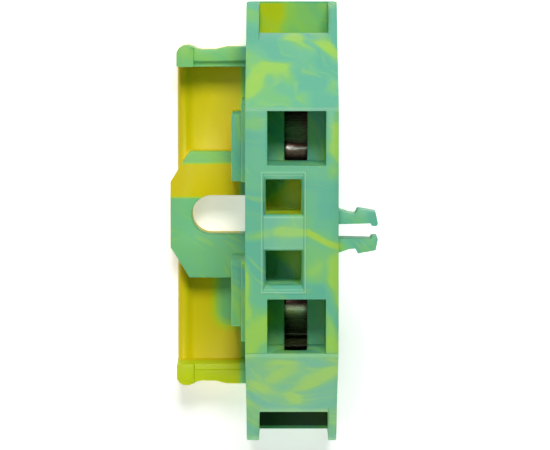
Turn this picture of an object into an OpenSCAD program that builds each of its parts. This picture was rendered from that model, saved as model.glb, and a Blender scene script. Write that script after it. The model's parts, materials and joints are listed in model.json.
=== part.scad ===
// Two-conductor spring-clamp terminal block with a screw flange, in millimetres.
// X is the row direction, Y the conductor direction, Z up from the mounting face.
// The origin is the middle of the block's mounting face.

/* [Body] */
// Width of the block along the row
body_w = 7.2; // [7.1:0.05:7.3]
// Height from the mounting face to the top face
body_h = 23.1; // [22.9:0.1:23.4]
// Length over the two conductor lips
body_l = 35; // [34.8:0.1:35.4]
// Length of the top face
top_l = 19.2; // [19:0.1:19.4]
// Distance between the two shoulder creases
crease_l = 29; // [28.8:0.1:29.2]
// Height of the shoulder creases
crease_z = 15; // [14.8:0.1:15.2]

/* [Wire funnels] */
// Height of the outer lip of each funnel
lip_z = 5; // [4.8:0.1:5.1]
// Thickness of the funnel's left side wall
leg_left = 1; // [0.9:0.05:1.1]
// Thickness of the funnel's right side wall
leg_right = 0.65; // [0.6:0.05:0.7]
// Radius of the conductor entry hole
entry_r = 1.6; // [1.4:0.05:1.7]
// Height of the conductor entry axis
entry_z = 7.6; // [7.5:0.05:7.7]

/* [Operating pockets] */
// Length of each pocket along the block
pocket_l = 4.2; // [4.1:0.05:4.3]
// Depth of each pocket
pocket_depth = 7; // [6.9:0.05:7]
// Width of the tool slot in the pocket floor
tool_slot_w = 1.8; // [1.5:0.05:2]

/* [Marker pockets] */
// Side of each small pocket along the row
marker_w = 2.75; // [2.6:0.05:2.8]
// Side of each small pocket along the block
marker_l = 2.7; // [2.5:0.1:2.8]
// Depth of each small pocket below the top face
marker_depth = 6.3; // [2:0.1:6.5]

/* [Flange] */
// Reach of the flange pad from the block's middle
pad_reach = 9.95; // [9.8:0.05:10.1]
// Height of the flange pad
pad_z = 3.6; // [3.4:0.1:3.8]
// Width of the fixing slot
slot_w = 3.2; // [3:0.1:3.4]
// Thickness of the tray floor
tray_floor = 0.9; // [0.8:0.05:1.1]
// Height of the tray's end walls
tray_wall_z = 5; // [4.8:0.1:5.2]

/* [Clamp springs] */
// Thickness of the spring strip
strip_t = 0.4; // [0.35:0.01:0.42]
// Mean radius of the spring's bend
bend_r = 2.28; // [2.2:0.02:2.3]
// Slope of the spring's top arm in degrees
arm_slope = 24; // [22:0.5:25]

/* [Peg] */
// Reach of the snap peg from the side of the block
peg_reach = 3.05; // [3:0.05:3.2]
// Height of the snap peg
peg_h = 3; // [2.8:0.1:3]

/* [Hidden] */
$fn = 48;
// a small overlap that lets a cut run past the face it opens
eps = 0.1;
// straight pieces in each arc of a side view
arc_steps = 12;
// the two outer side faces
side_l = -body_w / 2;
side_r = body_w / 2;
half_l = body_l / 2;
half_top = top_l / 2;
crease_y = crease_l / 2;
// the shoulders fall this far outward for each millimetre down
shoulder_run = (crease_y - half_top) / (body_h - crease_z);

// conductor axis and clamp middle, a little right of the block's middle
clamp_x = 0.3;

// the sloping ends of the funnel side walls
leg_end_y = half_l + 0.1;
leg_end_z = 12.8;
leg_corner_y = 0.55;
leg_corner_z = 1.1;
// the funnel roof's outer edge and inner end, and the funnel's back wall
roof_edge_y = crease_y + 0.67;
roof_edge_z = crease_z - 2.1;
roof_in_y = 14.1;
roof_in_z = 11.3;
funnel_back = 13.6;
funnel_low_z = lip_z - 1.6;
funnel_l = side_l + leg_left;
funnel_r = side_r - leg_right;
// lead-in at the outer end of the entry hole
leadin_r = entry_r + 0.45;
leadin_l = 0.45;

// operating pockets
pocket_l_x = -1.9;
pocket_r_x = 2.63;
pocket_in = 5.16;
pocket_z = body_h - pocket_depth;
tool_out = 9.9;
tool_groove_z = 21.3;
tool_x = 0.32;

// marker recess, the raised line around it and the two small pockets in it
marker_x = -0.65;
marker_in = 1.4;
// its sides slope out by this much in X and in Y
frame_x = 0.2;
frame_y = 0.42;
frame_d = 0.35;
ridge_w = 0.18;
ridge_h = 0.08;
pillow_r = 0.34;
pillow_low = 0.06;
pillow_foot = body_h - 1;

// narrow step along each ridge between top face and shoulder
step_w = 0.26;
step_d = 0.1;

// inner cavity for the clamps, open towards the side cover
cavity_l_x = -2;
cavity_in = 3.2;
cavity_out = 12.3;
cavity_low = 5.2;
cavity_top = 15.3;

// side cover, set flush into a rebate of the housing
cover_t = 0.8;
cover_in_x = side_r - cover_t;
cover_half = 13;
cover_low = 4.2;
cover_top = 15.7;
cover_gap = 0.04;
cover_corner = 1.2;
pin_r = 0.6;
pin_gap = 0.03;
pin_l = 1.7;
pin_places = [[-1.6, 12.9], [1.6, 12.9], [0, 6.6]];
grip_l = 6;
grip_w = 1;
grip_d = 0.25;
grip_r = 0.49;
grip_inset = 2.4;

// current bar
bar_half = 12;
bar_w = 2.7;
bar_z = 9.1;
bar_t = 1;
bar_gap = 0.05;
shoulder_half = 2.4;
shoulder_w = 3.4;
groove_pitch = 0.45;
groove_d = 0.12;
groove_w = 0.2;
groove_y = 11.05;
end_chamfer = 0.35;

// clamp springs: bend centre, leg and arm
bend_y = 6.1;
bend_z = bar_z + bar_t + strip_t / 2 + bend_r + 0.02;
leg_out = 9;
leg_w = 2.7;
arm_w = 3.9;
arm_l = 3.9;
tab_bend_r = 0.8;
tab_low = 8.25;
window_w = 3;
window_low = bar_z - 0.05;
window_in = 9.95;
hinge_half_gap = 0.12;
arm_end = [bend_y + bend_r * sin(arm_slope) + arm_l * cos(arm_slope),
    bend_z + bend_r * cos(arm_slope) - arm_l * sin(arm_slope)];
tab_bend = arm_end - tab_bend_r * [sin(arm_slope), cos(arm_slope)];
tab_y = tab_bend[0] + tab_bend_r;

// stiffening pads on the left wall: [thickness, length end, top height]
pad_start = 3.2;
wall_pads = [[0.45, 9.6, 12], [1.25, 8.5, 10.6]];
wall_pad_bevel = 0.15;

// flange pad and tray
pad_half = 5.2;
pad_flat = 2.7;
pad_shoulder_x = -8.4;
slot_end_x = -8.2;
tray_l_x = -9.4;
tray_wall_in = 12.2;
// a lower ledge runs along the inner side of each end wall
ledge_w = 0.5;
ledge_drop = 0.6;
// the tray's low rounded rim, across its width: [distance from the edge, height]
rim_outline = [
    [0, 0], [0, 1.15], [0.12, 1.38], [0.34, 1.5], [0.58, 1.46], [0.82, 1.28], [1.05, 1.06],
    [1.35, tray_floor],
    [1.35, 0]];
// one end wall from above: [X, distance from the middle]
end_wall = [
    [side_l + eps, 13.82], [-5.3, 13.82], [-5.75, 13.72], [-6.2, 13.6], [-7.3, 13.58], [-7.75, 13.66],
    [-8.1, 13.84],
    [-8.45, 13.95], [-8.9, 13.92], [-9.22, 13.72], [tray_l_x, 13.4], [tray_l_x, tray_wall_in],
    [side_l + eps, tray_wall_in]];
post_r_x = -8;
post_rise = 0.2;

// snap peg, seen from above: distances from the block's side and from its middle
peg_low = 18.7;
peg_root_gap = 0.12;
peg_nub = 0.41;
peg_in = 0.55;
peg_outline = [
    [peg_root_gap, peg_in], [peg_root_gap, 1.72], [0.85, 1.37], [1.3, 1.33], [1.5, 1.72],
    [peg_reach - 0.17, 1.47],
    [peg_reach, 0.62], [peg_reach - 0.04, peg_nub + 0.06], [peg_reach - 0.12, peg_nub],
    [peg_reach - 0.44, peg_nub], [peg_reach - 0.52, peg_nub + 0.08], [peg_reach - 0.55, peg_in + 0.06]];

// points on an arc in side view, angles measured from +Y
function arc(centre, r, from, to) =
    [for (i = [0 : arc_steps]) centre + r * [cos(from + (to - from) * i / arc_steps),
        sin(from + (to - from) * i / arc_steps)]];

function reversed(v) = [for (i = [len(v) - 1 : -1 : 0]) v[i]];

// extrudes a side-view shape, drawn in Y and Z, from one X to another
module slab(x0, x1) {
    translate([x0, 0, 0])
        rotate([90, 0, 90])
            linear_extrude(x1 - x0)
                children();
}

// a box between two corners
module block(low, high) {
    translate(low)
        cube(high - low);
}

// the children at both ends of the block
module both_ends() {
    children();
    mirror([0, 1, 0])
        children();
}

// a rectangle with true round corners, between two corners
module round_rect(low, high, r) {
    translate([low[0] + r, low[1]])
        square([high[0] - low[0] - 2 * r, high[1] - low[1]]);
    translate([low[0], low[1] + r])
        square([high[0] - low[0], high[1] - low[1] - 2 * r]);
    for (x = [low[0] + r, high[0] - r])
        for (y = [low[1] + r, high[1] - r])
            translate([x, y])
                circle(r);
}

// side view of the whole block, with the funnel side walls
module body_side_view() {
    half = [
        [half_l, 0], [leg_end_y, leg_end_z - leg_corner_z], [leg_end_y - leg_corner_y, leg_end_z],
        [crease_y, crease_z], [half_top + step_d * shoulder_run, body_h - step_d],
        [half_top - step_w, body_h - step_d], [half_top - step_w, body_h]];
    polygon(concat(half, reversed([for (p = half) [-p[0], p[1]]])));
}

// side view of the space taken out for one wire funnel
module funnel_side_view() {
    polygon([
        [crease_y, crease_z], [roof_edge_y, roof_edge_z], [roof_in_y, roof_in_z],
        [funnel_back, roof_in_z - 0.5], [funnel_back, funnel_low_z], [half_l + 0.02, lip_z],
        [half_l + 1, lip_z], [half_l + 1, crease_z + 1.5], [crease_y + 0.2, crease_z + 1.5]]);
}

// the conductor entry hole through one funnel's back wall
module entry_hole() {
    translate([clamp_x, cavity_out - eps, entry_z])
        rotate([-90, 0, 0])
            cylinder(h = funnel_back - cavity_out + 2 * eps, r = entry_r);
    translate([clamp_x, funnel_back - leadin_l, entry_z])
        rotate([-90, 0, 0])
            cylinder(h = leadin_l + 0.01, r1 = entry_r, r2 = leadin_r);
}

// one operating pocket with its tool slot and the groove in the outer wall
module operating_pocket() {
    block([pocket_l_x, pocket_in, pocket_z], [pocket_r_x, pocket_in + pocket_l, body_h + eps]);
    slab(tool_x - tool_slot_w / 2, tool_x + tool_slot_w / 2)
        polygon([
            [pocket_in, cavity_top - eps], [tool_out, cavity_top - eps], [tool_out, pocket_z + 1.5],
            [pocket_in + pocket_l - eps, tool_groove_z], [pocket_in + pocket_l - 2, pocket_z + eps],
            [pocket_in, pocket_z + eps]]);
}

// the space with sloping sides above the two small pockets
module marker_recess() {
    top = body_h + ridge_h + eps;
    half_y = marker_in + marker_l;
    low_x = [marker_x - marker_w / 2, marker_x + marker_w / 2];
    low_z = body_h - frame_d;
    spread = [frame_x, frame_y] * (top - low_z) / frame_d;
    intersection() {
        slab(low_x[0] - 1, low_x[1] + 1)
            polygon([
                [-half_y, low_z], [half_y, low_z], [half_y + spread[1], top], [-half_y - spread[1], top]]);
        translate([0, half_y + 1, 0])
            rotate([90, 0, 0])
                linear_extrude(2 * half_y + 2)
                    polygon([
                        [low_x[0], low_z], [low_x[1], low_z], [low_x[1] + spread[0], top],
                        [low_x[0] - spread[0], top]]);
    }
}

// side view of the soft plateau between the small pockets
module pillow_side_view() {
    round_y = marker_in - pillow_r;
    round_z = body_h - pillow_low - pillow_r;
    quarter = arc([round_y, round_z], pillow_r, 90, 0);
    foot = [[marker_in, pillow_foot], [-marker_in, pillow_foot]];
    polygon(concat(quarter, foot, reversed([for (p = quarter) [-p[0], p[1]]])));
}

module marker_pockets() {
    difference() {
        marker_recess();
        slab(channel_side(-1) - 1, channel_side(1) + 1)
            pillow_side_view();
    }
    both_ends()
        block([marker_x - marker_w / 2, marker_in, body_h - marker_depth],
            [marker_x + marker_w / 2, marker_in + marker_l, body_h]);
}

// X of the recess's left or right upper edge
function channel_side(side) = marker_x + side * (marker_w / 2 + frame_x);

// the raised line around the marker recess
module marker_ridge() {
    out_y = marker_in + marker_l + frame_y + ridge_w;
    block([channel_side(-1) - ridge_w, -out_y, body_h - eps],
        [channel_side(1) + ridge_w, out_y, body_h + ridge_h]);
}

// everything inside the housing that the side cover closes
module clamp_cavity() {
    both_ends()
        difference() {
            block([cavity_l_x, cavity_in, cavity_low], [cover_in_x + eps, cavity_out, cavity_top]);
            // a rib that keeps the bar's free end down on its seat
            block([cavity_l_x - eps, cavity_out - 0.5, bar_z + bar_t + bar_gap],
                [clamp_x - 1, cavity_out + eps, bar_z + bar_t + 0.9]);
        }
    // slot for the bar through the middle wall
    block([clamp_x - shoulder_w / 2 - bar_gap, -cavity_in - eps, bar_z - bar_gap],
        [cover_in_x + eps, cavity_in + eps, bar_z + bar_t + bar_gap]);
    // rebate for the side cover
    slab(cover_in_x, side_r + eps)
        round_rect([-cover_half, cover_low], [cover_half, cover_top], cover_corner);
    for (p = pin_places)
        translate([cover_in_x - pin_l - 0.1, p[0], p[1]])
            rotate([0, 90, 0])
                cylinder(h = pin_l + 0.2, r = pin_r + pin_gap);
}

// stiffening pads on the left wall above the tray
module wall_pads_one_end() {
    for (p = wall_pads)
        translate([0, p[1], 0])
            rotate([90, 0, 0])
                linear_extrude(p[1] - pad_start)
                    polygon([
                        [side_l + eps, tray_floor / 2], [side_l - p[0], tray_floor / 2],
                        [side_l - p[0], p[2] - wall_pad_bevel], [side_l - p[0] + wall_pad_bevel, p[2]],
                        [side_l + eps, p[2]]]);
}

// the tray beside the block: floor, rounded rim and the two end walls
module tray() {
    block([tray_l_x + 0.5, -tray_wall_in - 0.5, 0], [side_l + eps, tray_wall_in + 0.5, tray_floor]);
    translate([tray_l_x, tray_wall_in + 0.5, 0])
        rotate([90, 0, 0])
            linear_extrude(2 * tray_wall_in + 1)
                polygon(rim_outline);
    both_ends()
        difference() {
            linear_extrude(tray_wall_z + post_rise)
                polygon(end_wall);
            // only the corner post keeps the full height
            block([post_r_x, tray_wall_in - eps, tray_wall_z], [side_l + 2 * eps, half_l, tray_wall_z + 1]);
            block([post_r_x, tray_wall_in - eps, tray_wall_z - ledge_drop],
                [side_l + 2 * eps, tray_wall_in + ledge_w, tray_wall_z + 1]);
        }
}

// the raised six-sided flange pad under the screw head
module flange_pad() {
    linear_extrude(pad_z)
        polygon([
            [side_l + eps, -pad_half], [side_l + eps, pad_half], [pad_shoulder_x, pad_half],
            [-pad_reach, pad_flat], [-pad_reach, -pad_flat], [pad_shoulder_x, -pad_half]]);
}

// the fixing slot through pad and floor, one round end, closed by the block's wall
module fixing_slot() {
    translate([slot_end_x + slot_w / 2, 0, -eps])
        cylinder(h = pad_z + 2 * eps, r = slot_w / 2);
    block([slot_end_x + slot_w / 2, -slot_w / 2, -eps], [side_l, slot_w / 2, pad_z + eps]);
}

module housing() {
    color([0.36, 0.72, 0.45])
        difference() {
            union() {
                slab(side_l, side_r)
                    body_side_view();
                marker_ridge();
                both_ends()
                    wall_pads_one_end();
                tray();
                flange_pad();
            }
            both_ends() {
                slab(funnel_l, funnel_r)
                    funnel_side_view();
                entry_hole();
                operating_pocket();
            }
            marker_pockets();
            clamp_cavity();
            fixing_slot();
        }
}

module side_cover() {
    color([0.36, 0.72, 0.45]) {
        difference() {
            slab(cover_in_x, side_r)
                round_rect([-cover_half + cover_gap, cover_low + cover_gap],
                    [cover_half - cover_gap, cover_top - cover_gap], cover_corner - cover_gap);
            // two shallow finger recesses
            for (z = [cover_low + grip_inset, cover_top - grip_inset])
                slab(side_r - grip_d, side_r + eps)
                    round_rect([-grip_l / 2, z - grip_w / 2], [grip_l / 2, z + grip_w / 2], grip_r);
        }
        for (p = pin_places)
            translate([cover_in_x - pin_l, p[0], p[1]])
                rotate([0, 90, 0])
                    cylinder(h = pin_l + eps, r = pin_r);
    }
}

module current_bar() {
    color([0.8, 0.62, 0.5])
        difference() {
            union() {
                block([clamp_x - bar_w / 2, -bar_half, bar_z],
                    [clamp_x + bar_w / 2, bar_half, bar_z + bar_t]);
                block([clamp_x - shoulder_w / 2, -shoulder_half, bar_z],
                    [clamp_x + shoulder_w / 2, shoulder_half, bar_z + bar_t]);
            }
            both_ends() {
                // contact grooves under the clamping place
                for (i = [-1 : 1])
                    block([clamp_x - bar_w, groove_y + i * groove_pitch - groove_w / 2, bar_z - eps],
                        [clamp_x + bar_w, groove_y + i * groove_pitch + groove_w / 2, bar_z + groove_d]);
                // lead-in under each end
                slab(clamp_x - bar_w, clamp_x + bar_w)
                    polygon([
                        [bar_half - end_chamfer, bar_z - eps], [bar_half + eps, bar_z - eps],
                        [bar_half + eps, bar_z + end_chamfer], [bar_half, bar_z + end_chamfer],
                        [bar_half - end_chamfer, bar_z]]);
            }
        }
}

// side view of the fixed leg on the bar, with the lower half of the bend
module leg_side_view() {
    half_gap = asin(hinge_half_gap / bend_r);
    outer = arc([bend_y, bend_z], bend_r + strip_t / 2, 180 + half_gap, 270);
    inner = arc([bend_y, bend_z], bend_r - strip_t / 2, 180 + half_gap, 270);
    tip = [
        [leg_out, bend_z - bend_r - strip_t / 2], [leg_out, bend_z - bend_r + strip_t / 2]];
    polygon(concat(outer, tip, reversed(inner)));
}

// side view of the upper half of the bend, the sloping arm and the tab that turns down
module arm_side_view() {
    half_gap = asin(hinge_half_gap / bend_r);
    outer = concat(
        arc([bend_y, bend_z], bend_r + strip_t / 2, 180 - half_gap, 90 - arm_slope),
        arc(tab_bend, tab_bend_r + strip_t / 2, 90 - arm_slope, 0),
        [[tab_y + strip_t / 2, tab_low]]);
    inner = concat(
        arc([bend_y, bend_z], bend_r - strip_t / 2, 180 - half_gap, 90 - arm_slope),
        arc(tab_bend, tab_bend_r - strip_t / 2, 90 - arm_slope, 0),
        [[tab_y - strip_t / 2, tab_low]]);
    polygon(concat(outer, reversed(inner)));
}

module spring_leg() {
    slab(clamp_x - leg_w / 2, clamp_x + leg_w / 2)
        leg_side_view();
}

// the arm and tab, with the window that draws the conductor up against the bar
module spring_arm() {
    difference() {
        slab(clamp_x - arm_w / 2, clamp_x + arm_w / 2)
            arm_side_view();
        block([clamp_x - window_w / 2, window_in, window_low],
            [clamp_x + window_w / 2, tab_y + strip_t, bend_z + bend_r]);
    }
}

module clamp_spring_rear_leg() {
    color([0.75, 0.75, 0.72])
        spring_leg();
}

module clamp_spring_rear_arm() {
    color([0.75, 0.75, 0.72])
        spring_arm();
}

module clamp_spring_front_leg() {
    color([0.75, 0.75, 0.72])
        mirror([0, 1, 0])
            spring_leg();
}

module clamp_spring_front_arm() {
    color([0.75, 0.75, 0.72])
        mirror([0, 1, 0])
            spring_arm();
}

// one prong of the split peg that locks the next block
module peg_prong() {
    translate([side_r, 0, peg_low])
        linear_extrude(peg_h)
            polygon(peg_outline);
}

module peg_prong_rear() {
    color([0.36, 0.72, 0.45])
        peg_prong();
}

module peg_prong_front() {
    color([0.36, 0.72, 0.45])
        mirror([0, 1, 0])
            peg_prong();
}

housing();
side_cover();
current_bar();
clamp_spring_rear_leg();
clamp_spring_rear_arm();
clamp_spring_front_leg();
clamp_spring_front_arm();
peg_prong_rear();
peg_prong_front();
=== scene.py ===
"""Looks of a marbled spring-clamp terminal block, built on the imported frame."""
import json
import math

import bmesh
import bpy
from mathutils import Matrix, Vector

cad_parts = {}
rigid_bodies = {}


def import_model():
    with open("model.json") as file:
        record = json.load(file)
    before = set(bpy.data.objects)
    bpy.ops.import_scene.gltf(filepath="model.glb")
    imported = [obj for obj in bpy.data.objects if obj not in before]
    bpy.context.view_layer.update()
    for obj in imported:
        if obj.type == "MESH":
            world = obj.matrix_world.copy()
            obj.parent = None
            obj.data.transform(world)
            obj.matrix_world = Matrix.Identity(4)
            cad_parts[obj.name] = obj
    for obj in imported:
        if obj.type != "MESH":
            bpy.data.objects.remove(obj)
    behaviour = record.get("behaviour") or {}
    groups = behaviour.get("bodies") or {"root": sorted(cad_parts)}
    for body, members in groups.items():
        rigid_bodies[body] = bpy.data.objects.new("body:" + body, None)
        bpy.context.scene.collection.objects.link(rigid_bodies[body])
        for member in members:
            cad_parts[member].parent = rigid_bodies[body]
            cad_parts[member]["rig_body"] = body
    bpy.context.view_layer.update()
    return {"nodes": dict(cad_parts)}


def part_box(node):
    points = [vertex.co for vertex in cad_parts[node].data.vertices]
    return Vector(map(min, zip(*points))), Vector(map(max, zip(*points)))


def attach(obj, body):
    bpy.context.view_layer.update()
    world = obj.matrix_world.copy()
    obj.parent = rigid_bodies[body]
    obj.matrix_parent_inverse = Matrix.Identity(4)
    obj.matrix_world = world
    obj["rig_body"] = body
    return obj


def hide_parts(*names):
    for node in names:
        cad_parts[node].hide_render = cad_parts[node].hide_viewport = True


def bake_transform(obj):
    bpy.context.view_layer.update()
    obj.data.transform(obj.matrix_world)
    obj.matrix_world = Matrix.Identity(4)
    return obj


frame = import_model()

MM = 0.001
BODY_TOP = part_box("housing")[1].z
# height of the raised line around the marker pockets, in millimetres
RIDGE = 0.08

SPRING_PIECES = ("clamp_spring_rear_leg", "clamp_spring_rear_arm", "clamp_spring_front_leg",
                 "clamp_spring_front_arm")


# ---------------------------------------------------------------- node graphs

class Graph:
    """A small helper that adds a material's shader nodes and links them."""

    def __init__(self, name):
        self.material = bpy.data.materials.new(name)
        self.material.use_nodes = True
        self.tree = self.material.node_tree
        self.tree.nodes.clear()
        self.shader = self.add("ShaderNodeBsdfPrincipled")
        output = self.add("ShaderNodeOutputMaterial")
        self.link(self.shader.outputs["BSDF"], output.inputs["Surface"])

    def add(self, kind, **settings):
        node = self.tree.nodes.new(kind)
        for key, value in settings.items():
            setattr(node, key, value)
        return node

    def link(self, source, target):
        self.tree.links.new(source, target)

    def feed(self, socket, value):
        """Links a node's output to the socket, or sets the socket to a plain value."""
        if isinstance(value, bpy.types.NodeSocket):
            self.link(value, socket)
        else:
            socket.default_value = value

    def place(self):
        """Coordinates in the block's own frame, in millimetres."""
        coordinates = self.add("ShaderNodeTexCoord")
        return self.vector("SCALE", coordinates.outputs["Object"], scale=1 / MM)

    def axes(self, place):
        """The X, Y and Z of a place."""
        node = self.add("ShaderNodeSeparateXYZ")
        self.link(place, node.inputs[0])
        return [node.outputs[axis] for axis in "XYZ"]

    def vector(self, operation, a, b=None, scale=None):
        node = self.add("ShaderNodeVectorMath", operation=operation)
        self.feed(node.inputs[0], a)
        if b is not None:
            self.feed(node.inputs[1], b)
        if scale is not None:
            self.feed(node.inputs["Scale"], scale)
        return node.outputs["Value" if operation in ("DOT_PRODUCT", "LENGTH") else "Vector"]

    def shift(self, place, direction, distance):
        return self.vector("ADD", place, self.vector("SCALE", direction, scale=distance))

    def math(self, operation, a, b=0.0, c=0.0):
        node = self.add("ShaderNodeMath", operation=operation)
        for socket, value in zip(node.inputs, (a, b, c)):
            self.feed(socket, value)
        return node.outputs["Value"]

    def times(self, first, *others):
        """The product of two or more values."""
        for other in others:
            first = self.math("MULTIPLY", first, other)
        return first

    def one_minus(self, value):
        return self.math("SUBTRACT", 1.0, value)

    def noise(self, place, scale, detail=2.0, rough=0.5, output="Fac"):
        node = self.add("ShaderNodeTexNoise", noise_dimensions="3D")
        self.link(place, node.inputs["Vector"])
        node.inputs["Scale"].default_value = scale
        node.inputs["Detail"].default_value = detail
        node.inputs["Roughness"].default_value = rough
        return node.outputs[output]

    def swirl(self, place, scale):
        """A slowly changing direction, to bend a pattern with."""
        return self.vector("SUBTRACT", self.noise(place, scale, 1.0, output="Color"), (0.5, 0.5, 0.5))

    def turn_and_stretch(self, place, turn, stretch):
        """Coordinates for a pattern that is stretched along the axes, then turned by these degrees."""
        node = self.add("ShaderNodeMapping", vector_type="TEXTURE")
        self.link(place, node.inputs["Vector"])
        node.inputs["Rotation"].default_value = [math.radians(a) for a in turn]
        node.inputs["Scale"].default_value = stretch
        return node.outputs["Vector"]

    def smooth(self, value, low, high):
        """0 up to the low value, 1 from the high value on, and a soft step between them."""
        node = self.add("ShaderNodeMapRange", interpolation_type="SMOOTHSTEP")
        self.feed(node.inputs["Value"], value)
        node.inputs["From Min"].default_value = low
        node.inputs["From Max"].default_value = high
        return node.outputs["Result"]

    def below(self, value, low, high):
        """1 up to the low value, 0 from the high value on, and a soft step between them."""
        return self.one_minus(self.smooth(value, low, high))

    def within(self, value, low, high, soft):
        """1 between two values, with soft ends."""
        from_low = self.smooth(value, low - soft, low + soft)
        return self.times(from_low, self.below(value, high - soft, high + soft))

    def ramp(self, value, stops, mode="EASE"):
        node = self.add("ShaderNodeValToRGB")
        node.color_ramp.interpolation = mode
        elements = node.color_ramp.elements
        while len(elements) < len(stops):
            elements.new(0.5)
        for element, (position, colour) in zip(elements, stops):
            element.position = position
            element.color = linear(colour)
        self.link(value, node.inputs["Fac"])
        return node.outputs["Color"]

    def mix(self, factor, a, b):
        """Two colours mixed."""
        node = self.add("ShaderNodeMix", data_type="RGBA")
        self.feed(node.inputs["Factor"], factor)
        self.feed(node.inputs[6], a)
        self.feed(node.inputs[7], b)
        return node.outputs[2]

    def pull(self, amount, weight, target):
        """An amount drawn towards a target by a weight from 0 to 1."""
        node = self.add("ShaderNodeMix", data_type="FLOAT")
        self.feed(node.inputs[0], weight)
        self.feed(node.inputs[2], amount)
        self.feed(node.inputs[3], target)
        return node.outputs[0]

    def bump(self, height, strength, distance):
        node = self.add("ShaderNodeBump")
        node.inputs["Strength"].default_value = strength
        node.inputs["Distance"].default_value = distance
        self.link(height, node.inputs["Height"])
        self.link(node.outputs["Normal"], self.shader.inputs["Normal"])


def linear(colour):
    """A screen colour, 0 to 255, as the linear colour that a shader takes."""
    def one(c):
        c = c / 255
        return c / 12.92 if c <= 0.04045 else ((c + 0.055) / 1.055) ** 2.4
    return (*(one(c) for c in colour), 1.0)


# ------------------------------------------------------------------ materials

TEAL = (98, 182, 152)
SEA_GREEN = (108, 188, 146)
GREEN = (122, 194, 124)
LIME = (154, 207, 88)
LIME_YELLOW = (196, 208, 24)
YELLOW = (216, 197, 6)
# painted highlight colour for the raised line and the edges at the block's top
RIDGE_HIGHLIGHT = (176, 222, 190)
SHADE = (34, 38, 10)

# Direction, in degrees, in which the plastic's pigment is drawn out
FLOW = (15, -20, -40)

# Lime streaks on the upper side of the block: start and end in X and Y, half width, strength
STREAKS = (
    ((-3.5, 10.9), (-2.0, 12.5), 1.2, 0.8), ((-2.0, 12.5), (-0.4, 12.3), 1.1, 0.8),
    ((-0.4, 12.3), (1.3, 9.9), 0.9, 0.7), ((0.3, 14.4), (3.3, 13.9), 1.5, 0.9),
    ((0.6, 13.9), (3.3, 10.7), 0.8, 0.95), ((-3.0, 8.8), (-2.6, 7.2), 1.8, 0.45),
    ((3.4, 9.3), (3.4, 4.6), 1.3, 0.8), ((-3.5, -0.2), (1.1, 0.0), 0.65, 0.85),
    ((1.1, 0.0), (3.5, -1.3), 0.65, 0.95), ((3.5, -2.8), (3.3, -8.6), 1.7, 0.9),
    ((2.2, -4.4), (1.4, -1.8), 1.6, 0.4), ((-3.5, -8.8), (-2.0, -7.0), 1.9, 0.9),
    ((-3.2, -13.2), (-0.4, -10.0), 2.0, 0.9), ((0.2, -13.4), (3.3, -10.4), 1.5, 0.9),
    ((-3.6, -1.0), (-3.6, -6.4), 0.8, 0.8),
)


def marbled_plastic():
    """Green polyamide with yellow drawn out through it in soft streaks."""
    g = Graph("marbled_plastic")
    place = g.place()
    # the melt's flow bends the streaks
    curl = g.swirl(place, 0.3)
    bent = g.shift(g.shift(place, g.swirl(place, 0.085), 10.0), curl, 2.0)
    wavy = g.shift(place, curl, 1.2)
    drawn_out = g.noise(g.turn_and_stretch(bent, FLOW, (6.5, 1.9, 4.0)), 1.0, 1.5, 0.4)
    amount = g.math("MULTIPLY_ADD", drawn_out, 0.75, 0.12)
    streaks = g.times(lime_streaks(g, place, wavy), g.smooth(drawn_out, 0.25, 0.55))
    amount = g.pull(amount, streaks, 0.78)
    # the front half is a little greener all over
    front_half = g.below(g.axes(bent)[1], -9.0, -1.0)
    amount = g.pull(amount, g.times(front_half, 0.35), 0.68)
    at, wavy_at = g.axes(place), g.axes(wavy)
    for area in (yellow_tray, yellow_flange, yellow_end_walls, yellow_pockets, yellow_funnel):
        amount = area(g, at, wavy_at, amount)
    colour = g.ramp(amount, [
        (0.42, TEAL), (0.52, SEA_GREEN), (0.62, GREEN), (0.73, LIME), (0.84, LIME_YELLOW), (0.96, YELLOW)])
    colour = threads_and_clouds(g, place, bent, amount, colour)
    # painted highlights on the raised line and the top edges
    colour = painted_ridge_highlights(g, place, colour)
    colour = shaded_funnel_floor(g, place, colour)
    g.link(colour, g.shader.inputs["Base Color"])
    grain = g.noise(place, 7.0, 3.0, 0.6)
    g.link(g.math("MULTIPLY_ADD", grain, 0.16, 0.36), g.shader.inputs["Roughness"])
    g.bump(grain, 0.18, 0.02 * MM)
    g.shader.inputs["Specular IOR Level"].default_value = 0.22
    g.shader.inputs["Subsurface Weight"].default_value = 0.05
    g.shader.inputs["Subsurface Radius"].default_value = (0.6, 1.0, 0.4)
    g.shader.inputs["Subsurface Scale"].default_value = 0.4 * MM
    return g.material


def lime_streaks(g, place, wavy):
    """How strongly the streaks colour a place on the upper side."""
    strongest = 0.0
    for start, end, width, strength in STREAKS:
        strongest = g.math("MAXIMUM", strongest, g.times(streak(g, wavy, start, end, width), strength))
    x, _, z = g.axes(place)
    return g.times(strongest, g.smooth(z, 7.0, 13.0), g.smooth(x, -4.2, -3.6))


def streak(g, place, start, end, width):
    """1 along a line in X and Y, fading to 0 at the given distance from it."""
    start = Vector((*start, 0))
    along = Vector((*end, 0)) - start
    away = g.vector("SUBTRACT", g.vector("MULTIPLY", place, (1, 1, 0)), start)
    part = g.vector("DOT_PRODUCT", away, along / along.length_squared)
    part = g.math("MINIMUM", g.math("MAXIMUM", part, 0.0), 1.0)
    nearest = g.vector("SCALE", along, scale=part)
    distance = g.vector("LENGTH", g.vector("SUBTRACT", away, nearest))
    return g.below(distance, 0.1 * width, 0.9 * width)


def beside_block(g, at):
    """1 on the tray and the flange, 0 on the block itself."""
    return g.below(at[0], -4.6, -3.7)


# The next five functions draw the amount of yellow towards what one area of the block shows. at is
# a place's X, Y and Z, and wavy is the same with the flow's waves in it.

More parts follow.
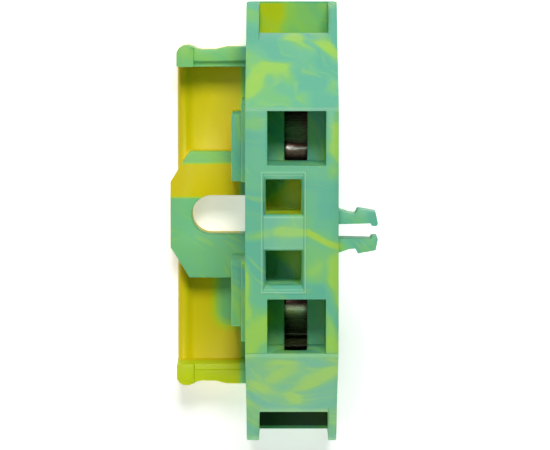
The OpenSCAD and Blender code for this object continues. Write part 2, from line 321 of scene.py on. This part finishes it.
def yellow_tray(g, at, wavy, amount):
    """The tray is yellow but for a green patch towards its front, next to the block."""
    low = g.below(wavy[2], 1.7, 3.4)
    patch = g.times(g.smooth(wavy[0], -7.4, -5.4), g.within(wavy[1], -9.5, -4.0, 1.2))
    weight = g.times(beside_block(g, at), low, 0.94)
    return g.pull(amount, weight, g.math("MULTIPLY_ADD", patch, -0.42, 1.02))


def yellow_flange(g, at, wavy, amount):
    """The flange is yellow behind a sharp flow line, green in front of it and lime along the rear."""
    height = g.times(beside_block(g, at), g.within(at[2], 2.1, 4.0, 0.3))
    stretches = ((1.35, 4.3, 0.92, 1.0), (-5.4, 1.35, 0.85, 0.6), (4.3, 5.4, 0.8, 0.7))
    for front, rear, weight, target in stretches:
        stretch = g.within(at[1], front, rear, 0.25)
        amount = g.pull(amount, g.times(stretch, height, weight), target)
    return amount


def yellow_end_walls(g, at, wavy, amount):
    """The tray's end walls are green at the rear and lime to yellow in front."""
    high = g.times(beside_block(g, at), g.smooth(wavy[2], 1.7, 3.4))
    amount = g.pull(amount, g.times(g.smooth(at[1], 11.6, 12.0), high, 0.75), 0.7)
    return g.pull(amount, g.times(g.below(at[1], -12.0, -11.6), high, 0.8), 0.93)


def yellow_pockets(g, at, wavy, amount):
    """A yellow patch reaches down into the rear marker pocket, and a lime one into the front pocket."""
    pocket = g.times(g.within(at[0], -2.2, 0.8, 0.05), g.below(at[2], 22.4, 22.9))
    across = g.math("SUBTRACT", wavy[0], wavy[1])
    rear = g.times(g.within(at[1], 1.2, 4.3, 0.05), g.smooth(across, -4.9, -3.6))
    amount = g.pull(amount, g.times(pocket, rear, 0.8), 0.88)
    along = g.math("ADD", wavy[0], wavy[1])
    front = g.times(g.within(at[1], -4.3, -1.2, 0.05), g.smooth(along, -4.4, -2.6))
    return g.pull(amount, g.times(pocket, front, 0.8), 0.8)


def yellow_funnel(g, at, wavy, amount):
    """Some yellow has reached the rear funnel."""
    funnel = g.times(g.within(at[0], -2.7, 3.1, 0.1), g.within(at[1], 14.3, 17.42, 0.06),
                     g.below(at[2], 6.0, 10.0))
    amount = g.pull(amount, g.times(funnel, 0.7), 0.74)
    patch = g.times(g.within(wavy[0], -2.8, -0.6, 0.7), funnel)
    return g.pull(amount, g.times(patch, 0.6), 0.92)


def threads_and_clouds(g, place, bent, amount, colour):
    """Thin threads of lime inside the green, and a slight cloudiness of its pigment."""
    green_part = g.below(amount, 0.74, 0.82)
    threads = g.smooth(g.noise(g.turn_and_stretch(bent, FLOW, (6.0, 0.5, 2.0)), 1.0, 1.0), 0.58, 0.72)
    colour = g.mix(g.times(threads, green_part, 0.4), colour, linear(LIME))
    clouds = g.smooth(g.noise(place, 1.1, 3.0, 0.6), 0.35, 0.7)
    return g.mix(g.times(clouds, green_part, 0.15), colour, linear(GREEN))


def painted_ridge_highlights(g, place, colour):
    """Painted highlights along the raised line and the edges at the block's top, in a paler colour mixed
    into the plastic.
    """
    z = g.axes(place)[2]
    top_face = BODY_TOP / MM - RIDGE
    raised_line = g.smooth(z, top_face + 0.4 * RIDGE, top_face + 0.8 * RIDGE)
    edges = g.within(z, top_face - 0.12, top_face - 0.06, 0.02)
    return g.mix(g.times(g.math("MAXIMUM", raised_line, edges), 0.32), colour, linear(RIDGE_HIGHLIGHT))


def shaded_funnel_floor(g, place, colour):
    """The front funnel's floor lies in the shade of the block."""
    x, y, z = g.axes(place)
    floor = g.times(g.within(y, -17.3, -13.7, 0.05), g.below(z, 5.0, 5.3))
    return g.mix(g.times(floor, g.within(x, -2.7, 3.1, 0.1), 0.88), colour, linear(SHADE))


def spring_steel():
    """Rolled chrome-nickel strip: fine lines across it, and painted reflections and highlights in bands of
    colour around the bend.
    """
    g = Graph("spring_steel")
    place = g.place()
    lines = g.noise(g.turn_and_stretch(place, (0, 0, 0), (3.0, 0.1, 3.0)), 1.0, 3.0, 0.6)
    patches = g.noise(place, 0.9, 2.0)
    y = g.axes(place)[1]
    from_middle = g.math("MULTIPLY_ADD", g.math("SUBTRACT", patches, 0.5), 0.4, g.math("ABSOLUTE", y))
    # the ramps of painted reflections and highlights run from 5 to 10 mm from the block's middle
    along = g.math("MULTIPLY_ADD", from_middle, 0.2, -1.0)
    rear = g.ramp(along, [
        (0.04, (40, 30, 28)), (0.1, (110, 85, 78)), (0.19, (130, 100, 90)), (0.22, (250, 240, 235)),
        (0.25, (160, 120, 110)), (0.29, (76, 40, 34)), (0.34, (150, 135, 120)), (0.52, (196, 182, 162)),
        (0.64, (160, 140, 124)), (0.8, (100, 80, 70))], "LINEAR")
    front = g.ramp(along, [
        (0.16, (50, 35, 32)), (0.24, (96, 64, 58)), (0.29, (200, 176, 166)), (0.34, (250, 236, 228)),
        (0.39, (194, 174, 154)), (0.48, (116, 108, 88)), (0.66, (96, 90, 70)), (0.72, (116, 106, 84)),
        (0.74, (244, 240, 214)), (0.77, (60, 55, 42)), (0.81, (60, 55, 42)), (0.84, (200, 200, 140)),
        (0.92, (200, 200, 140)), (0.945, (250, 250, 230)), (0.96, (60, 60, 50))], "LINEAR")
    painted_reflections = g.mix(g.smooth(y, -0.5, 0.5), front, rear)
    g.link(painted_reflections, g.shader.inputs["Base Color"])
    g.shader.inputs["Metallic"].default_value = 0.72
    g.link(g.math("MULTIPLY_ADD", lines, 0.2, 0.16), g.shader.inputs["Roughness"])
    g.bump(lines, 0.35, 0.015 * MM)
    return g.material


def tinned_copper():
    """Stamped copper with a satin coat of tin."""
    g = Graph("tinned_copper")
    place = g.place()
    patches = g.noise(place, 1.4, 3.0)
    grain = g.noise(g.turn_and_stretch(place, (0, 0, 0), (0.08, 2.5, 0.5)), 1.0, 3.0)
    g.link(g.ramp(patches, [(0.35, (186, 172, 156)), (0.6, (205, 198, 188))]), g.shader.inputs["Base Color"])
    g.shader.inputs["Metallic"].default_value = 1.0
    g.link(g.math("MULTIPLY_ADD", grain, 0.22, 0.28), g.shader.inputs["Roughness"])
    g.bump(grain, 0.25, 0.01 * MM)
    return g.material


def floor_material():
    """A pale lit table, so that the ground stays bright under the block."""
    g = Graph("studio_floor")
    mottle = g.noise(g.place(), 0.02, 2.0)
    g.link(g.ramp(mottle, [(0.3, (244, 244, 243)), (0.7, (248, 248, 247))]), g.shader.inputs["Base Color"])
    g.shader.inputs["Roughness"].default_value = 0.85
    g.shader.inputs["Emission Color"].default_value = (1, 1, 1, 1)
    g.shader.inputs["Emission Strength"].default_value = 0.42
    return g.material


PLASTIC = marbled_plastic()
STEEL = spring_steel()
TINNED = tinned_copper()


# --------------------------------------------------------------------- pieces

# edges that turn by more than the first angle are rounded, and shading breaks above the second
ROUNDED_ABOVE = math.radians(32)
CREASED_ABOVE = math.radians(40)
# the rounding takes up this part of a short neighbouring edge at most
SHARE_OF_NEIGHBOUR = 0.4
# cosine of the angle within which a neighbouring edge goes on in the same line
SAME_LINE = 0.85
# around the marker pockets, above and between these, the steps are fine and rounded by less
FINE_EDGE = 0.03 * MM
FINE_ABOVE = BODY_TOP - 1.5 * MM
FINE_BETWEEN = 4.9 * MM


def rounded(node, width, material, reach_into=None):
    """A copy of a CAD node with its edges rounded, standing for it. It isn't attached yet.

    reach_into moves the face at the copy's lowest X to that X.
    """
    mesh = frame["nodes"][node].data.copy()
    work = bmesh.new()
    work.from_mesh(mesh)
    bmesh.ops.remove_doubles(work, verts=work.verts, dist=0.002 * MM)
    bmesh.ops.dissolve_limit(work, angle_limit=math.radians(1.0), verts=work.verts, edges=work.edges)
    if reach_into is not None:
        root = min(v.co.x for v in work.verts)
        for v in work.verts:
            if v.co.x < root + 0.01 * MM:
                v.co.x = reach_into
    weigh_edges(work, width)
    work.to_mesh(mesh)
    work.free()
    piece = add_object(node + "_rounded", mesh)
    bevel = piece.modifiers.new("edges", "BEVEL")
    bevel.width = width
    bevel.segments = 2
    bevel.limit_method = "WEIGHT"
    bevel.use_clamp_overlap = False
    depsgraph = bpy.context.evaluated_depsgraph_get()
    piece.data = bpy.data.meshes.new_from_object(piece.evaluated_get(depsgraph))
    piece.modifiers.clear()
    finish_piece(piece, material)
    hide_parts(node)
    return piece


def add_object(name, data):
    made = bpy.data.objects.new(name, data)
    bpy.context.scene.collection.objects.link(made)
    return made


def weigh_edges(work, width):
    """Marks the sharp edges for rounding, with less of it where a neighbouring edge is short."""
    layer = work.edges.layers.float.new("bevel_weight_edge")
    for edge in work.edges:
        if len(edge.link_faces) != 2 or edge.calc_face_angle(0.0) < ROUNDED_ABOVE:
            continue
        edge[layer] = min(1.0, SHARE_OF_NEIGHBOUR * shortest_neighbour(edge) / width)
        middle = (edge.verts[0].co + edge.verts[1].co) / 2
        if middle.z > FINE_ABOVE and abs(middle.y) < FINE_BETWEEN:
            edge[layer] = min(edge[layer], FINE_EDGE / width)


def shortest_neighbour(edge):
    """Length of the shortest edge that leaves this one to the side."""
    along = (edge.verts[1].co - edge.verts[0].co).normalized()
    shortest = math.inf
    for vert in edge.verts:
        for other in vert.link_edges:
            step = other.other_vert(vert).co - vert.co
            if other != edge and abs(step.normalized().dot(along)) < SAME_LINE:
                shortest = min(shortest, step.length)
    return shortest


def finish_piece(piece, material):
    piece.data.materials.clear()
    piece.data.materials.append(material)
    piece.data.shade_smooth()
    piece.data.set_sharp_from_angle(angle=CREASED_ABOVE)


def rounded_on_body(node, width, material):
    piece = rounded(node, width, material)
    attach(piece, frame["nodes"][node]["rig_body"])


def flexing_prong(node):
    """One prong of the peg, grown out of the block's side."""
    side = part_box("housing")[1].x
    root_depth = 0.15 * MM
    piece = rounded(node, 0.05 * MM, PLASTIC, reach_into=side - root_depth)
    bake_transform(piece)


def spring_bend(name, end):
    """The stretch of strip between a spring's fixed leg and its arm. end is 1 at the rear, -1 in front."""
    arm_low, arm_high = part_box(f"clamp_spring_{name}_arm")
    leg_low, leg_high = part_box(f"clamp_spring_{name}_leg")
    strip = 0.4 * MM
    # it lies this far inside the faces of both pieces, and reaches this far into them
    inset = 0.01 * MM
    side_inset = 0.02 * MM
    overlap = 0.1 * MM
    steps = 6
    inner = min(abs(arm_low.y), abs(arm_high.y))
    near, far = inner + inset, inner + strip - inset
    left, right = leg_low.x + side_inset, leg_high.x - side_inset
    bottom, top = leg_high.z - overlap, arm_turn(name) + overlap
    mesh = bmesh.new()
    rings = []
    for i in range(steps + 1):
        z = bottom + (top - bottom) * i / steps
        corners = ((left, near), (right, near), (right, far), (left, far))
        rings.append([mesh.verts.new((x, end * y, z)) for x, y in corners])
    for a, b in zip(rings, rings[1:]):
        for i in range(4):
            mesh.faces.new((a[i], a[(i + 1) % 4], b[(i + 1) % 4], b[i]))
    mesh.faces.new(rings[0][::-1])
    mesh.faces.new(rings[-1])
    bmesh.ops.recalc_face_normals(mesh, faces=mesh.faces)
    data = bpy.data.meshes.new(f"clamp_spring_{name}_bend")
    mesh.to_mesh(data)
    mesh.free()
    piece = add_object(f"clamp_spring_{name}_bend", data)
    finish_piece(piece, STEEL)
    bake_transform(piece)


def arm_turn(name):
    """Height of the arm's own end at the bend: its lowest point on the inner side."""
    end_face = 0.45 * MM
    data = frame["nodes"][f"clamp_spring_{name}_arm"].data
    inner = min(abs(v.co.y) for v in data.vertices)
    return min(v.co.z for v in data.vertices if abs(v.co.y) < inner + end_face)


rounded_on_body("housing", 0.1 * MM, PLASTIC)
rounded_on_body("side_cover", 0.05 * MM, PLASTIC)
rounded_on_body("current_bar", 0.08 * MM, TINNED)
for node in SPRING_PIECES:
    rounded_on_body(node, 0.04 * MM, STEEL)
for name, end in (("rear", 1), ("front", -1)):
    flexing_prong(f"peg_prong_{name}")
    spring_bend(name, end)


# --------------------------------------------------------------- studio scene

# Square soft lights aimed at the block: azimuth (0 is +Y, 90 is +X), elevation, distance, size, power
LIGHTS = {
    "key": (4, 59, 0.45, 0.14, 1.55),
    "low_fill": (180, 9, 0.5, 0.1, 1.15),
    "high_left": (272, 77, 0.5, 0.1, 0.2),
    "left_fill": (265, 35, 0.5, 0.25, 0.28),
    "right_fill": (95, 30, 0.5, 0.25, 0.28),
}


def add_floor():
    half = 1.5
    mesh = bpy.data.meshes.new("floor")
    corners = [(-half, -half, 0), (half, -half, 0), (half, half, 0), (-half, half, 0)]
    mesh.from_pydata(corners, [], [(0, 1, 2, 3)])
    mesh.materials.append(floor_material())
    floor = add_object("floor", mesh)
    floor.location.z = -0.02 * MM


def add_light(name, azimuth, elevation, distance, size, power):
    a, e = math.radians(azimuth), math.radians(elevation)
    target = Vector((0, 0, BODY_TOP / 2))
    away = Vector((math.sin(a) * math.cos(e), math.cos(a) * math.cos(e), math.sin(e)))
    data = bpy.data.lights.new(name, "AREA")
    data.size = size
    data.energy = power
    light = add_object(name, data)
    light.location = target + away * distance
    light.rotation_euler = away.to_track_quat("Z", "Y").to_euler()


def add_camera():
    """The view from above, a little towards the rear end."""
    data = bpy.data.cameras.new("camera")
    data.sensor_width = 36
    data.lens = 234.7
    data.clip_start = 0.01
    data.clip_end = 10
    camera = add_object("camera", data)
    place = Vector((-0.6, 21.0, 298.0)) * MM
    aim = Vector((-1.3, 0.6, 23.1)) * MM
    # the rear of the block is at the top of the picture
    back = (place - aim).normalized()
    right = Vector((0, 1, 0)).cross(back).normalized()
    turned = Matrix((right, back.cross(right), back)).transposed()
    camera.matrix_world = Matrix.Translation(place) @ turned.to_4x4()
    bpy.context.scene.camera = camera


def add_world():
    """A dim grey room, lighter behind the block than in front of it and lightest at table height."""
    world = bpy.data.worlds.new("studio")
    world.use_nodes = True
    tree = world.node_tree
    background = tree.nodes["Background"]
    coordinates = tree.nodes.new("ShaderNodeTexCoord")
    direction = tree.nodes.new("ShaderNodeSeparateXYZ")
    tree.links.new(coordinates.outputs["Generated"], direction.inputs[0])
    lighter = tree.nodes.new("ShaderNodeMath")
    lighter.operation = "MAXIMUM"
    front_to_back = add_fade(tree, direction.outputs["Y"], (-0.7, 0.5), (0.1, 0.42))
    tree.links.new(front_to_back, lighter.inputs[0])
    table_height = add_fade(tree, direction.outputs["Z"], (0.12, 0.32), (0.85, 0.0))
    tree.links.new(table_height, lighter.inputs[1])
    tree.links.new(lighter.outputs["Value"], background.inputs["Strength"])
    bpy.context.scene.world = world


def add_fade(tree, value, span, strength):
    """A strength that goes softly from one to the other over a span of the value."""
    fade = tree.nodes.new("ShaderNodeMapRange")
    fade.interpolation_type = "SMOOTHSTEP"
    fade.inputs["From Min"].default_value, fade.inputs["From Max"].default_value = span
    fade.inputs["To Min"].default_value, fade.inputs["To Max"].default_value = strength
    tree.links.new(value, fade.inputs["Value"])
    return fade.outputs["Result"]


add_floor()
for name, setting in LIGHTS.items():
    add_light(name, *setting)
add_world()
add_camera()
bpy.context.scene.view_settings.view_transform = "Standard"
